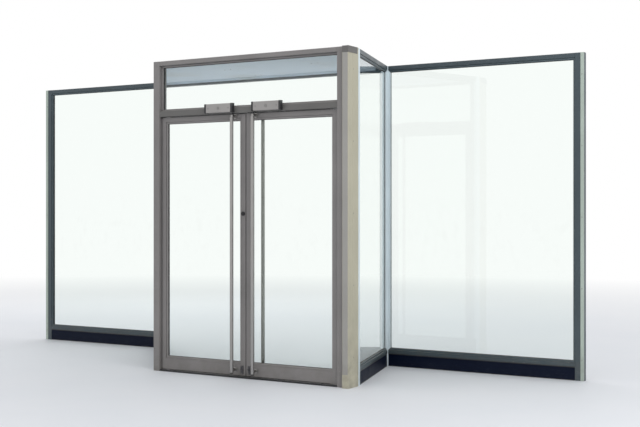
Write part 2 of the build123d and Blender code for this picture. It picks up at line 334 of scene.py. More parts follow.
@dataclass
class Effects:
    """The surface effects that several finishes share, each a node group that is built once."""

    fade_power: float = 1.6
    scratch_lines: Place = (26.0, 26.0, 240.0)
    ledge_slopes: Span = (0.6, 0.95)
    smears: Place = (14.0, 14.0, 9.0)

    @cached_property
    def peel(self) -> bpy.types.NodeTree:
        """The fine orange peel of powder coat: its height, and its patches of sheen.

        Returns:
            The node group.
        """
        group = Group("Powder Peel", ("Height", "Roughness"), Grain=420.0, Roughness=0.45)
        fine = group.noise(scale=group.given["Grain"], detail=2.0)
        patch = group.noise(scale=5.0, detail=3.0, span=(0.25, 0.75), onto=(-0.06, 0.08))
        return group.closed(Height=fine, Roughness=group.math("ADD", group.given["Roughness"], patch))

    @cached_property
    def scuffs(self) -> bpy.types.NodeTree:
        """Scuffs and washed-up dirt that fade with the height above the floor.

        Returns:
            The node group.
        """
        group = Group("Floor Scuffs", ("Dirt", "Scratches"), Reach=0.35, Amount=0.6)
        low = group.fading(group.height(group.point), group.given["Reach"])
        low = group.math("POWER", low, self.fade_power)
        cloud = group.noise(scale=9.0, detail=5.0, roughness=0.6, span=(0.35, 0.7))
        streak = group.stretched(self.scratch_lines)
        lines = group.noise(scale=1.0, detail=3.0, roughness=0.7, span=(0.63, 0.68), point=streak)
        amount = group.given["Amount"]
        return group.closed(Dirt=group.product(low, cloud, amount),
                            Scratches=group.product(lines, low, amount))

    @cached_property
    def dust(self) -> bpy.types.NodeTree:
        """Dust that lies on faces that look up.

        Returns:
            The node group.
        """
        group = Group("Ledge Dust", ("Mask",), Amount=0.5)
        up = group.spread(group.height(group.add("NewGeometry").outputs["Normal"]), self.ledge_slopes)
        cloud = group.noise(scale=22.0, detail=4.0, span=(0.3, 0.7), onto=(0.35, 1.0))
        return group.closed(Mask=group.product(up, cloud, group.given["Amount"]))

    @cached_property
    def grain(self) -> bpy.types.NodeTree:
        """The lines of brushed metal at a stretched point: their height, tone and roughness.

        Returns:
            The node group.
        """
        group = Group("Brushed Grain", ("Height", "Tone", "Roughness"), Roughness=0.3)
        lines = group.noise(scale=1.0, detail=4.0, roughness=0.65)
        shift = group.spread(lines, (0.25, 0.75), onto=(-0.07, 0.1))
        return group.closed(Height=lines, Tone=group.spread(lines, (0.25, 0.75)),
                            Roughness=group.math("ADD", group.given["Roughness"], shift))

    @cached_property
    def marks(self) -> bpy.types.NodeTree:
        """Smears left by hands in a band round one height.

        Returns:
            The node group.
        """
        group = Group("Hand Marks", ("Mask",), Height=1.1, Band=0.45, Amount=0.5)
        away = group.math("SUBTRACT", group.height(group.point), group.given["Height"])
        near = group.fading(group.math("ABSOLUTE", away), group.given["Band"])
        smear = group.stretched(self.smears)
        blots = group.noise(scale=1.0, detail=5.0, roughness=0.6, span=(0.52, 0.72), point=smear)
        return group.closed(Mask=group.product(near, blots, group.given["Amount"]))


EFFECTS = Effects()


class Surface(Graph):
    """A material while it is wired, with its shader and the point on the piece."""

    def __init__(self, name: str) -> None:
        """Starts a material with a Principled shader.

        Args:
            name: The material's name.
        """
        self.material = bpy.data.materials.new(name)
        self.material.use_nodes = True
        super().__init__(self.material.node_tree)
        self.shader = self.add("BsdfPrincipled")
        self.output = self.add("OutputMaterial", {"Surface": self.shader.outputs[0]})
        self.point = self.add("TexCoord").outputs["Object"]

    def effect(self, group: bpy.types.NodeTree, **inputs: object) -> bpy.types.NodeOutputs:
        """Places a shared effect with its own values, at the point on the piece if no other is given."""
        return self.add("Group", {"Point": self.point, **inputs}, node_tree=group).outputs

    def set(self, **inputs: object) -> None:
        """Sets the shader's inputs, with an underscore for each space in a name."""
        for name, value in inputs.items():
            self.feed(self.shader.inputs[name.replace("_", " ")], value)

    def bump(self, height: object, distance: float) -> None:
        """Raises the surface by a height from 0 to 1, where 1 stands at the distance."""
        self.set(Normal=self.add("Bump", {"Height": height, "Distance": distance}).outputs["Normal"])

    def cover(self, share: object, shader: bpy.types.Node) -> None:
        """Mixes another shader over the material's own one, by the other one's share."""
        mixed = self.add("MixShader", {0: share, 1: self.shader.outputs[0], 2: shader.outputs[0]})
        self.feed(self.output.inputs["Surface"], mixed.outputs[0])


@dataclass(frozen=True)
class Finish(ABC):
    """A finish: its material's name, its main colour and the way that its kind is wired."""

    name: str
    colour: Colour

    @cached_property
    def surface(self) -> Surface:
        """The material while it is wired."""
        return Surface(self.name)

    @cached_property
    def material(self) -> bpy.types.Material:
        """The material, wired once."""
        self.wire()
        return self.surface.material

    @abstractmethod
    def wire(self) -> None:
        """Wires the material's shader."""


@dataclass(frozen=True)
class PowderCoat(Finish):
    """Powder-coated or painted metal, with orange peel, scuffs near the floor and dust on ledges."""

    roughness: float = 0.42
    specular: float = 0.45
    mottle: float = 0.05
    peel: float = 0.00012
    reach: float = 0.4
    scuffs: float = 0.45
    dirt: Colour = (92, 88, 82)
    scratch: Colour = (176, 174, 170)
    dust: float = 0.3
    dust_colour: Colour = (172, 168, 160)
    dust_roughness: float = 0.4

    def wire(self) -> None:
        """Wires the mottle, the scuffs, the dust on ledges and the orange peel."""
        surface = self.surface
        broad = surface.noise(scale=2.4, detail=4.0, span=(0.3, 0.7))
        base = surface.mix(broad, linear(self.colour, 1 - self.mottle), linear(self.colour, 1 + self.mottle))
        scuffs = surface.effect(EFFECTS.scuffs, Reach=self.reach, Amount=self.scuffs)
        dust = surface.effect(EFFECTS.dust, Amount=self.dust)["Mask"]
        peel = surface.effect(EFFECTS.peel, Roughness=self.roughness)
        base = surface.layered(base, (scuffs["Dirt"], self.dirt), (scuffs["Scratches"], self.scratch),
                               (dust, self.dust_colour))
        rough = surface.math("ADD", peel["Roughness"], surface.product(dust, self.dust_roughness))
        surface.set(Base_Color=base, Roughness=rough, Specular_IOR_Level=self.specular)
        surface.bump(peel["Height"], self.peel)


@dataclass(frozen=True)
class BrushedMetal(Finish):
    """Brushed or mill-finished metal with grain along one direction and hand marks."""

    grain: Place = (2200.0, 2200.0, 9.0)
    roughness: float = 0.3
    metallic: float = 1.0
    marks: float = 0.4
    mark_roughness: float = 0.3
    groove_tone: float = 0.86
    mark_tone: float = 0.8
    relief: float = 0.00003

    def wire(self) -> None:
        """Wires the grain and the hand marks."""
        surface = self.surface
        stretched = surface.stretched(self.grain)
        lines = surface.effect(EFFECTS.grain, Point=stretched, Roughness=self.roughness)
        marks = surface.effect(EFFECTS.marks, Amount=self.marks)["Mask"]
        base = surface.mix(lines["Tone"], linear(self.colour, self.groove_tone), linear(self.colour))
        base = surface.mix(marks, base, linear(self.colour, self.mark_tone))
        rough = surface.math("ADD", lines["Roughness"], surface.product(marks, self.mark_roughness))
        surface.set(Base_Color=base, Roughness=rough, Metallic=self.metallic)
        surface.bump(lines["Height"], self.relief)


@dataclass(frozen=True)
class ClearGlass(Finish):
    """Clear toughened glass with a faint green body, hand marks and washed-up dust at its foot."""

    index: float = 1.5
    marks: float = 0.5
    dust: float = 0.5
    dust_reach: float = 0.5
    film: Colour = (226, 229, 226)
    film_share: float = 0.25
    film_roughness: float = 0.08

    def wire(self) -> None:
        """Wires the film of marks and dust, and lets shadow rays pass, so that no pane darkens the floor."""
        surface = self.surface
        marks = surface.effect(EFFECTS.marks, Amount=self.marks)["Mask"]
        dust = surface.effect(EFFECTS.scuffs, Reach=self.dust_reach, Amount=self.dust)["Dirt"]
        film = surface.math("MAXIMUM", marks, dust)
        base = surface.layered(linear(self.colour), (surface.product(film, self.film_share), self.film))
        surface.set(Base_Color=base, Roughness=surface.product(film, self.film_roughness), IOR=self.index,
                    Transmission_Weight=1.0)
        surface.cover(surface.add("LightPath").outputs["Is Shadow Ray"],
                      surface.add("BsdfTransparent", {"Color": linear(self.colour)}))


@dataclass(frozen=True)
class Rubber(Finish):
    """Extruded rubber: dull, with a bloom of a paler grey and a fine grain."""

    bloom: Colour = (78, 79, 80)
    dust: float = 0.5
    dust_colour: Colour = (120, 116, 110)
    relief: float = 0.00008

    def wire(self) -> None:
        """Wires the bloom, the dust and the fine grain."""
        surface = self.surface
        dust = surface.effect(EFFECTS.dust, Amount=self.dust)["Mask"]
        cloud = surface.noise(scale=30.0, detail=4.0, span=(0.45, 0.75), onto=(0.0, 0.5))
        base = surface.layered(linear(self.colour), (cloud, self.bloom), (dust, self.dust_colour))
        surface.set(Base_Color=base, Roughness=surface.spread(cloud, (0.0, 0.5), onto=(0.55, 0.75)))
        surface.bump(surface.noise(scale=1400.0, detail=2.0), self.relief)


@dataclass(frozen=True)
class Pile(Finish):
    """Woven brush pile: dark fibres that stand out of a strip."""

    fibres: Place = (3600.0, 3600.0, 260.0)
    tips: Colour = (88, 88, 90)
    roughness: float = 0.95
    dust: float = 0.4
    dust_colour: Colour = (130, 126, 120)
    relief: float = 0.0004

    def wire(self) -> None:
        """Wires the fibres with their paler tips and the dust."""
        surface = self.surface
        dust = surface.effect(EFFECTS.dust, Amount=self.dust)["Mask"]
        fibres = surface.noise(scale=1.0, detail=3.0, roughness=0.6, point=surface.stretched(self.fibres))
        base = surface.layered(linear(self.colour), (surface.spread(fibres, (0.4, 0.7)), self.tips),
                               (dust, self.dust_colour))
        surface.set(Base_Color=base, Roughness=self.roughness)
        surface.bump(fibres, self.relief)


@dataclass(frozen=True)
class KerbPaint(Finish):
    """Near-black satin kerb facing with pale shoe scuffs, chips and a grey tide line at the floor."""

    roughness: float = 0.5
    specular: float = 0.14
    reach: float = 0.12
    scuffs: float = 0.7
    scuff_colour: Colour = (84, 88, 96)
    tide_share: float = 0.3
    tide_colour: Colour = (40, 43, 50)
    dust: float = 0.6
    dust_colour: Colour = (120, 118, 114)
    peel_grain: float = 260.0
    peel: float = 0.00012

    def wire(self) -> None:
        """Wires the tide line, the scuffs and chips, the dust and the peel."""
        surface = self.surface
        scuffs = surface.effect(EFFECTS.scuffs, Reach=self.reach, Amount=self.scuffs)
        dust = surface.effect(EFFECTS.dust, Amount=self.dust)["Mask"]
        peel = surface.effect(EFFECTS.peel, Grain=self.peel_grain, Roughness=self.roughness)
        chips = surface.noise(scale=130.0, detail=3.0, roughness=0.7, span=(0.7, 0.74), onto=(0.0, 0.5))
        base = surface.layered(linear(self.colour),
                               (surface.product(scuffs["Dirt"], self.tide_share), self.tide_colour),
                               (surface.math("MAXIMUM", scuffs["Scratches"], chips), self.scuff_colour),
                               (dust, self.dust_colour))
        surface.set(Base_Color=base, Roughness=peel["Roughness"], Specular_IOR_Level=self.specular)
        surface.bump(peel["Height"], self.peel)


@dataclass(frozen=True)
class PaintedBoard(Finish):
    """A board painted with a roller: its stipple, faint roller bands and a little yellowing."""

    stain: Colour = (224, 226, 224)
    bands: Place = (0.8, 9.0, 1.0)
    stipple: float = 0.0003

    def wire(self) -> None:
        """Wires the roller bands, the yellowing and the stipple."""
        surface = self.surface
        bands = surface.noise(scale=1.0, detail=3.0, point=surface.stretched(self.bands))
        stain = surface.noise(scale=1.7, detail=5.0, roughness=0.6, span=(0.5, 0.75), onto=(0.0, 0.6))
        surface.set(Base_Color=surface.layered(linear(self.colour), (stain, self.stain)),
                    Roughness=surface.spread(bands, (0.3, 0.7), onto=(0.62, 0.78)))
        surface.bump(surface.noise(scale=520.0, detail=3.0, roughness=0.6), self.stipple)


class Look(Enum):
    """Every finish of the shopfront."""

    GREY_FRAME = PowderCoat("grey_frame_coat", (127, 124, 123))
    # Painted shade: the window frames and their beads are the same grey aluminium as the doors' frames, made
    # darker to stand for the shade on backlit frames.
    DARK_FRAME = PowderCoat("dark_frame_coat", (63, 75, 81), roughness=0.38)
    PALE_POST = PowderCoat("pale_post_coat", (214, 227, 233), roughness=0.4, mottle=0.03)
    BEAD_GREY = PowderCoat("grey_bead_coat", (133, 130, 129), roughness=0.36)
    BEAD_DARK = PowderCoat("dark_bead_coat", (70, 83, 89), roughness=0.34)
    BEAD_PALE = PowderCoat("pale_bead_coat", (216, 228, 234), roughness=0.36, mottle=0.03)
    CLOSURE = PowderCoat("wall_closure_coat", (170, 182, 172), roughness=0.45, mottle=0.04)
    TRANSOM = PowderCoat("transom_coat", (99, 98, 96))
    COLUMN = PowderCoat("column_casing_paint", (176, 172, 153), roughness=0.5, mottle=0.03, peel=0.0002,
                        reach=0.7, scuffs=0.6)
    # Painted shade: the column's front face, as a darker grey copy of the cream casing paint.
    COLUMN_FRONT = PowderCoat("column_front_paint", (152, 150, 146), roughness=0.45, mottle=0.03)
    FITTING = PowderCoat("dark_fitting_enamel", (44, 44, 46), roughness=0.33, scuffs=0.1)
    BOLT = PowderCoat("foot_bolt_enamel", (74, 74, 77), roughness=0.36, scuffs=0.1)
    COVER = PowderCoat("housing_cover_coat", (151, 148, 146), roughness=0.36, scuffs=0.0)
    # Painted shade: the threshold's aluminium is made near-black so that it stands for the door's contact
    # shadow and the dark line at its foot.
    THRESHOLD = BrushedMetal("weathered_threshold", (60, 62, 65), grain=(7.0, 1800.0, 1800.0),
                             roughness=0.55, metallic=0.7, marks=0.0)
    STEEL = BrushedMetal("brushed_steel_bar", (172, 170, 168))
    SCREW = BrushedMetal("screw_steel", (150, 149, 147), grain=(900.0, 900.0, 900.0), roughness=0.34,
                         marks=0.0)
    TREAD = BrushedMetal("mill_aluminium_tread", (150, 150, 148), grain=(7.0, 1800.0, 1800.0),
                         roughness=0.42, metallic=0.85, marks=0.0)
    GLASS = ClearGlass("clear_toughened_glass", (247, 252, 249))
    RUBBER = Rubber("glazing_rubber", (34, 35, 37))
    RUBBER_PALE = Rubber("pale_glazing_rubber", (124, 130, 134), bloom=(158, 162, 164))
    PILE = Pile("brush_pile", (40, 41, 43))
    KERB = KerbPaint("kerb_facing_satin", (4, 14, 36))
    SOFFIT = PaintedBoard("soffit_roller_paint", (233, 243, 255))


class Shape:
    """A mesh that is put together from sweeps, plates, screws and turned forms."""

    def __init__(self) -> None:
        """Starts empty."""
        self.mesh = bmesh.new()

    def skin(self, rings: Sequence[Sequence[Vector]], kind: Skin) -> None:
        """Joins rings of points with faces.

        Args:
            rings: Rings of the same number of points, in order.
            kind: How they are joined.
        """
        verts = [[self.mesh.verts.new(point) for point in ring] for ring in rings]
        quads = len(rings[0]) - 1 if kind is Skin.STRIP else len(rings[0])
        following = verts[1:] + verts[:1] if kind is Skin.HOOP else verts[1:]
        for here, there in zip(verts, following):
            around = zip(here, here[1:] + here[:1], there[1:] + there[:1], there)
            for corner_verts in list(around)[:quads]:
                self.mesh.faces.new(corner_verts)
        if kind is Skin.SOLID:
            self.mesh.faces.new(reversed(verts[0]))
            self.mesh.faces.new(verts[-1])

    def sweep(self, section: Section, start: Vector, end: Vector, across: Vector, up: Vector) -> None:
        """Draws a closed section, whose points run along across and up, from start to end."""
        self.skin([[place + across * a + up * b for a, b in section] for place in (start, end)], Skin.SOLID)

    def turned(self, profile: Section, base: Vector, axis: Vector, sides: int = 24,
               hex_from: int | None = None) -> None:
        """Turns a profile round an axis, and fills both ends.

        Args:
            profile: Radius and height pairs along the axis.
            base: The point at height 0.
            axis: The direction of the axis.
            sides: How many faces go round.
            hex_from: The profile's point from which on the form is hexagonal, if it is.
        """
        side = axis.orthogonal().normalized()
        other = axis.cross(side)
        rings = []
        for index, (radius, height) in enumerate(profile):
            ring = []
            for step in range(sides):
                turn = math.tau * step / sides
                reach = radius
                if hex_from is not None and index >= hex_from:
                    reach = radius / math.cos(turn % HEX_TURN - HEX_TURN / 2)
                ring.append(base + axis * height + (side * math.cos(turn) + other * math.sin(turn)) * reach)
            rings.append(ring)
        self.skin(rings, Skin.SOLID)

    def plate(self, centre: Vector, along: Vector, out: Vector, size: Plate) -> None:
        """Lays a plate with chamfered rims on a face.

        Args:
            centre: The middle of the face that it lies on.
            along: The direction of its length.
            out: The direction out of the face.
            size: Its sizes.
        """
        across = out.cross(along).normalized()
        rings = []
        rim = size.thickness - size.chamfer
        for inset, height in ((0.0, 0.0), (0.0, rim), (size.chamfer, size.thickness)):
            a, b = size.length / 2 - inset, size.width / 2 - inset
            rings.append([centre + along * x + across * y + out * height
                          for x, y in ((-a, -b), (a, -b), (a, b), (-a, b))])
        self.skin(rings, Skin.SOLID)

    def screws(self, seats: Iterable[Vector], axis: Vector, radius: float) -> None:
        """Seats pan-head screws with hexagonal sockets on a face.

        Args:
            seats: The points on the face.
            axis: The direction out of the face.
            radius: The heads' radius.
        """
        profile = [(radius * reach, radius * height) for reach, height in SCREW_HEAD]
        for seat in seats:
            self.turned(profile, seat, axis, hex_from=SCREW_SOCKET)

    def piece(self, name: str, slot: Slot, look: Look, body: Body = Body.SCREEN, smooth: float = 35.0
              ) -> None:
        """Makes the object, gives it its material and lets it ride on its body.

        Args:
            name: The piece's name.
            slot: The record's material slot; not used.
            look: Its finish.
            body: The body that carries it.
            smooth: Edges sharper than this angle in degrees stay sharp.
        """
        bmesh.ops.recalc_face_normals(self.mesh, faces=self.mesh.faces)
        data = bpy.data.meshes.new(name)
        self.mesh.to_mesh(data)
        self.mesh.free()
        data.shade_smooth()
        data.set_sharp_from_angle(angle=math.radians(smooth))
        data.materials.append(look.value.material)
        thing = placed(name, data)
        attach(thing, body.value)
        LOG.info("%s: %d faces on %s", name, len(data.polygons), body.value)


@dataclass
class Pane:
    """A glass sheet as the solids hold it, with its beads and gaskets."""

    stem: str
    body: Body
    nose_half: float
    glass_half: float = 0.005
    tone: Slot = Slot.DARK_FRAME
    start_tone: Slot | None = None
    end_tone: Slot | None = None
    pocket: float = 0.012
    bead_nose: Section = ((-0.0134, -0.0005), (-0.0134, 0.0009), (-0.0122, 0.0016), (-0.0035, 0.0016),
                          (-0.0012, 0.0008), (0.0006, -0.0022))
    bead_heel: Section = ((0.0006, 0.0034), (-0.001, 0.0034))
    gasket: Section = ((-0.001, 0.0044), (0.0014, 0.0042), (0.003, 0.0026), (0.0036, 0.0002),
                       (-0.001, 0.0002))
    middle: Vector = field(init=False)
    run: Vector = field(init=False)
    out: Vector = field(init=False)
    half_run: float = field(init=False)
    bottom: float = field(init=False)
    top: float = field(init=False)

    def __post_init__(self) -> None:
        """Reads the sheet's place from its node."""
        node = f"{self.stem}_glass"
        low, high, self.middle = corners(node)
        offsets = [vertex.co - self.middle for vertex in frame["nodes"][node].data.vertices]
        xx = sum(p.x * p.x for p in offsets)
        yy = sum(p.y * p.y for p in offsets)
        xy = sum(p.x * p.y for p in offsets)
        turn = math.atan2(2 * xy, xx - yy) / 2
        self.run = Vector((math.cos(turn), math.sin(turn), 0))
        self.out = Z.cross(self.run)
        self.half_run = max(abs(p.dot(self.run)) for p in offsets) - self.pocket
        self.bottom, self.top = low.z + self.pocket, high.z - self.pocket

    def towards(self, way: Vector) -> Vector:
        """The direction out of the sheet on the side that a direction points to."""
        return self.out if self.out.dot(way) > 0 else -self.out

    def loop(self, shapes: Sequence[Shape], section: Section, side: int) -> None:
        """Draws a section round the sight line of the sheet, mitred at the corners.

        Args:
            shapes: The meshes that get the bottom run, the one at the end, the top run and the one at the
                start.
            section: Pairs of the distance in from the sight line and out from the middle of the glass.
            side: 1 or -1, the side of the glass.
        """
        rings = []
        for end, up in ((-1, 1), (1, 1), (1, -1), (-1, -1)):
            corner = self.middle + self.run * (end * self.half_run)
            corner.z = self.bottom if up > 0 else self.top
            rings.append([corner + (self.run * -end + Z * up) * inward + self.out * (side * away)
                          for inward, away in section])
        for shape, here, there in zip(shapes, rings, rings[1:] + rings[:1]):
            shape.skin([here, there], Skin.STRIP)

    def dress(self) -> None:
        """Adds the snap-in beads and the rubber gaskets on both sides."""
        bead = [(inward, self.nose_half + away) for inward, away in self.bead_nose]
        bead += [(inward, self.glass_half + away) for inward, away in self.bead_heel]
        gasket = [(inward, self.glass_half + away) for inward, away in self.gasket]
        # The dark window tone is painted shade on the grey frames; the pale and grey tones are the frames'
        # own.
        looks = {Slot.DARK_FRAME: (Look.BEAD_DARK, Look.RUBBER),
                 Slot.GREY_FRAME: (Look.BEAD_GREY, Look.RUBBER),
                 Slot.PALE_POST: (Look.BEAD_PALE, Look.RUBBER_PALE)}
        tones = (self.tone, self.end_tone or self.tone, self.tone, self.start_tone or self.tone)
        beads = {tone: Shape() for tone in dict.fromkeys(tones)}
        gaskets = {tone: Shape() for tone in beads}
        for side in (-1, 1):
            self.loop([beads[tone] for tone in tones], bead, side)
            self.loop([gaskets[tone] for tone in tones], gasket, side)
        for tone, shape in beads.items():
            name = self.stem if tone is self.tone else f"{self.stem}_upright"
            bead_look, gasket_look = looks[tone]
            shape.piece(f"{name}_beads", tone, bead_look, self.body, smooth=20.0)
            gaskets[tone].piece(f"{name}_gaskets", tone, gasket_look, self.body, smooth=50.0)


@dataclass
class Glazing:
    """All the sheets of the shopfront."""

    fixed_nose: float = 0.016
    leaf_nose: float = 0.013
    leaf_glass: float = 0.004

    def build(self) -> dict[str, Pane]:
        """Dresses every sheet.

        Returns:
            The panes by the stems of their nodes' names.
        """
        nose, grey, pale = self.fixed_nose, Slot.GREY_FRAME, Slot.PALE_POST
        panes = [Pane("left_window", Body.SCREEN, nose, end_tone=pale),
                 Pane("right_window", Body.SCREEN, nose, start_tone=pale),
                 Pane("left_return", Body.SCREEN, nose, start_tone=pale, end_tone=pale),
                 Pane("right_return", Body.SCREEN, nose, start_tone=pale, end_tone=pale),
                 Pane("transom", Body.SCREEN, nose, tone=grey),
                 Pane("left_leaf", Body.LEFT_LEAF, self.leaf_nose, self.leaf_glass, grey),
                 Pane("right_leaf", Body.RIGHT_LEAF, self.leaf_nose, self.leaf_glass, grey)]
        for pane in panes:
            pane.dress()
        return {pane.stem: pane for pane in panes}


@dataclass
class Leaf:
    """One door leaf: its seals, its pull bars' caps and collars, its lock's plates and its foot bolt."""

    side: Side
    pile: Section = ((-0.003, 0.0), (0.003, 0.0), (0.0024, 0.00192), (0.0, 0.0024), (-0.0024, 0.00192))
    pile_offset: float = 0.011
    pile_gap: float = 0.003
    brush: Section = ((-0.004, 0.0), (0.004, 0.0), (0.0032, 0.0045), (-0.0032, 0.0045))
    brush_heel_gap: float = 0.037
    brush_meeting_gap: float = 0.004
    cap: Section = ((0.0116, -0.001), (0.0116, 0.0008), (0.0136, 0.0012), (0.0136, 0.00558),
                    (0.012648, 0.00738), (0.009792, 0.00855), (0.00136, 0.009))
    bar_inset: float = 0.014
    standoff_rise: float = 0.0455
    standoff_drop: float = 0.018
    collar: Section = ((0.0125, -0.0005), (0.0125, 0.0024), (0.0113, 0.004))
    collar_out: float = 0.005
    grub_out: float = 0.026
    grub_drop: float = 0.0097
    grub_radius: float = 0.0026
    lock_height: float = 1.275
    lock_plate: Plate = Plate(0.17, 0.0145, 0.0009, 0.0004)
    lock_screw_offset: float = 0.072
    lock_screw_out: float = 0.0008
    lock_screw_radius: float = 0.0032
    cylinder_inset: float = 0.0205
    cylinder: Section = ((0.017, 0.0), (0.017, 0.004), (0.0158, 0.0056), (0.0128, 0.006),
                         (0.0118, 0.0052), (0.0085, 0.0052), (0.0085, 0.0072), (0.0079, 0.0078))
    keyway: Plate = Plate(0.009, 0.0016, 0.0002, 0.0001)
    bolt_inset: float = 0.003
    bolt_height: float = 0.046
    bolt_plate: Plate = Plate(0.064, 0.022, 0.01, 0.003)
    knob: Section = ((0.0055, 0.0), (0.0055, 0.005), (0.007, 0.007), (0.007, 0.0105), (0.0055, 0.012))
    knob_rise: float = 0.006
    bolt_screw_offset: float = 0.026
    bolt_screw_radius: float = 0.003

    def part(self, name: str) -> Corners:
        """The corners of one of the leaf's nodes."""
        return corners(f"{self.side}_leaf_{name}")

    def add(self, shape: Shape, name: str, slot: Slot, look: Look, smooth: float = 35.0) -> None:
        """Makes a shape one of the leaf's pieces."""
        shape.piece(f"{self.side}_leaf_{name}", slot, look, Body[f"{self.side.name}_LEAF"], smooth)

    def build(self) -> None:
        """Adds the leaf's seals and fittings."""
        self.seals()
        self.pull_trims()
        self.lock_trims()
        self.foot_bolt()

    def seals(self) -> None:
        """Adds the pile between the leaves and the brush strips at the foot and the head; their dark is also
        painted shade for the gap between the leaves and the door's contact shadow.
        """
        heel, stile, shape = self.side.value, self.part("meeting_stile"), Shape()
        # Real pile seals, whose dark also serves as painted shade for the gap between the leaves.
        for offset in (-self.pile_offset, self.pile_offset):
            shape.sweep(self.pile, stile.at(-heel, 0, -1) + Vector((0, offset, self.pile_gap)),
                        stile.at(-heel, 0, 1) + Vector((0, offset, -self.pile_gap)), Y, X * -heel)
        # The brush at the foot is partly painted shade: a dark band for the door's contact shadow on the
        # floor.
        for rail, way in (("bottom_rail", -1), ("top_rail", 1)):
            shape.sweep(self.brush, stile.at(-heel, 0, way) + X * (heel * self.brush_meeting_gap),
                        self.part(rail).at(heel, 0, way) - X * (heel * self.brush_heel_gap), Y, Z * way)
        self.add(shape, "pile_seals", Slot.FITTING, Look.PILE, smooth=60.0)

    def pull_trims(self) -> None:
        """Adds a dark cap at each end of the pulls, and a collar and a grub screw at each standoff."""
        heights = (self.part("bottom_rail").low.z + self.standoff_rise,
                   self.part("top_rail").high.z - self.standoff_drop)
        for face in Face:
            pull, out = self.part(f"{face}_pull"), face.value
            caps, collars, grubs = Shape(), Shape(), Shape()
            for way in (-1, 1):
                caps.turned(self.cap, pull.at(0, out, way) - Y * (out * self.bar_inset), Z * way, sides=32)
            for height in heights:
                seat = pull.at(0, -out, 0)
                seat.z = height
                collars.turned(self.collar, seat + Y * (out * self.collar_out), Y * out, sides=32)
                grubs.screws([seat + Vector((0, out * self.grub_out, -self.grub_drop))], -Z, self.grub_radius)
            self.add(caps, f"{face}_pull_caps", Slot.FITTING, Look.FITTING)
            self.add(collars, f"{face}_pull_trims", Slot.STEEL, Look.STEEL)
            self.add(grubs, f"{face}_pull_grubs", Slot.STEEL, Look.SCREW)

    def lock_trims(self) -> None:
        """Adds the faceplate of the lock or the keep, and the left leaf's key cylinder on the street side."""
        heel, stile, plate = self.side.value, self.part("meeting_stile"), Shape()
        centre = stile.at(-heel, 0, 0)
        centre.z = self.lock_height
        plate.plate(centre, Z, X * -heel, self.lock_plate)
        plate.screws([centre + Vector((-heel * self.lock_screw_out, 0, offset))
                      for offset in (-self.lock_screw_offset, self.lock_screw_offset)],
                     X * -heel, self.lock_screw_radius)
        self.add(plate, "lock_faceplate", Slot.STEEL, Look.SCREW)
        if self.side is Side.LEFT:
            rose, key = Shape(), Shape()
            seat = Vector((centre.x + heel * self.cylinder_inset, stile.high.y, self.lock_height))
            rose.turned(self.cylinder, seat, Y, sides=40)
            self.add(rose, "outside_cylinder", Slot.FITTING, Look.FITTING)
            key.plate(seat + Y * self.cylinder[-1][1], Z, Y, self.keyway)
            self.add(key, "outside_keyway", Slot.FITTING, Look.RUBBER)

    def foot_bolt(self) -> None:
        """Adds the small foot bolt on the inside, at the bottom corner beside the meeting edge."""
        bolt, screws = Shape(), Shape()
        seat = self.part("meeting_stile").at(0, -1, -1)
        seat += Vector((self.side.value * self.bolt_inset, 0, self.bolt_height))
        front = seat - Y * self.bolt_plate.thickness
        bolt.plate(seat, Z, -Y, self.bolt_plate)
        bolt.turned(self.knob, front + Z * self.knob_rise, -Y, sides=28)
        self.add(bolt, "foot_bolt", Slot.FITTING, Look.BOLT)
        screws.screws([front + Z * offset for offset in (-self.bolt_screw_offset, self.bolt_screw_offset)],
                      -Y, self.bolt_screw_radius)
        self.add(screws, "foot_bolt_screws", Slot.FITTING, Look.SCREW)


